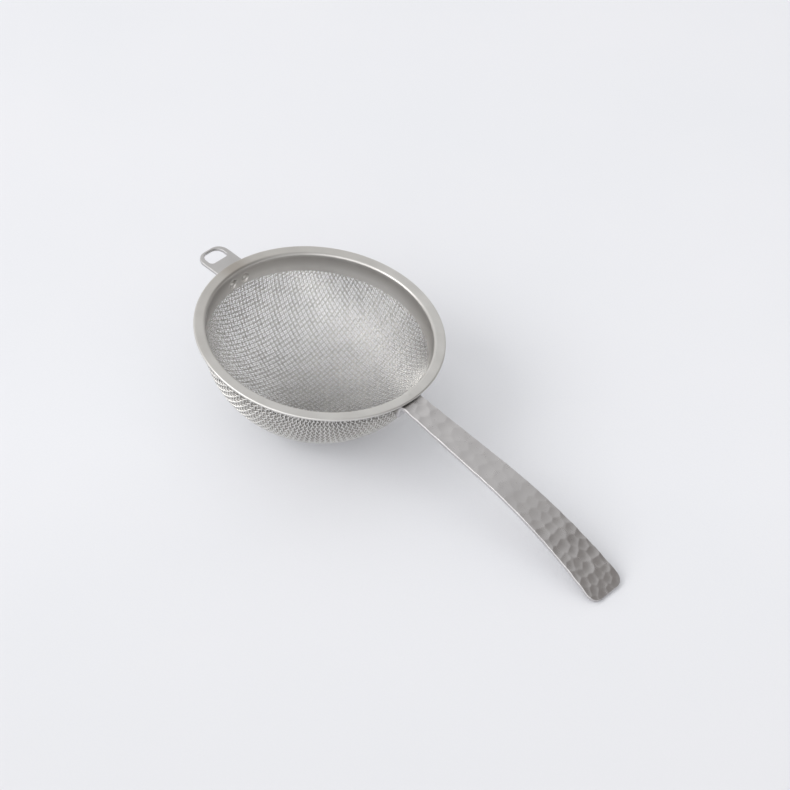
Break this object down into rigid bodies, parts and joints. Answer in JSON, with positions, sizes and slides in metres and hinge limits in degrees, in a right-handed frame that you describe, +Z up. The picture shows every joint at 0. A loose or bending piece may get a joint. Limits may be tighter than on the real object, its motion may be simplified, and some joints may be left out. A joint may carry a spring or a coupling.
{
  "type": "tea strainer",
  "caption": "Round stainless tea strainer: flanged rim, double woven wire bowl, hammered strip handle and a slotted hook tab.",
  "frame": {"origin": "centre of the part's footprint on the table it rests on, under the rim's edge towards the handle", "axes": "+X towards the handle's tip, +Y to its left, +Z up; the rim tilts 6.49 degrees down towards +X, as the strainer rests on its bowl and its handle's tip"},
  "size_m": [0.1596, 0.075, 0.0363],
  "materials": {
    "satin_sheet": "satin stainless sheet",
    "fine_wire_cloth": "woven stainless wire, about 40 mesh",
    "coarse_wire_cloth": "woven stainless wire, about 18 mesh",
    "hammered_strip": "hammered on top, satin",
    "weld_metal": "pressed weld mark, satin"
  },
  "bodies": {
    "root": {"rim": "satin_sheet", "inner_fine_mesh": "fine_wire_cloth", "outer_coarse_mesh": "coarse_wire_cloth", "handle": "hammered_strip", "hook_tab": "satin_sheet", "handle_spot_welds": "weld_metal", "tab_spot_welds": "weld_metal"}
  },
  "joints": []
}
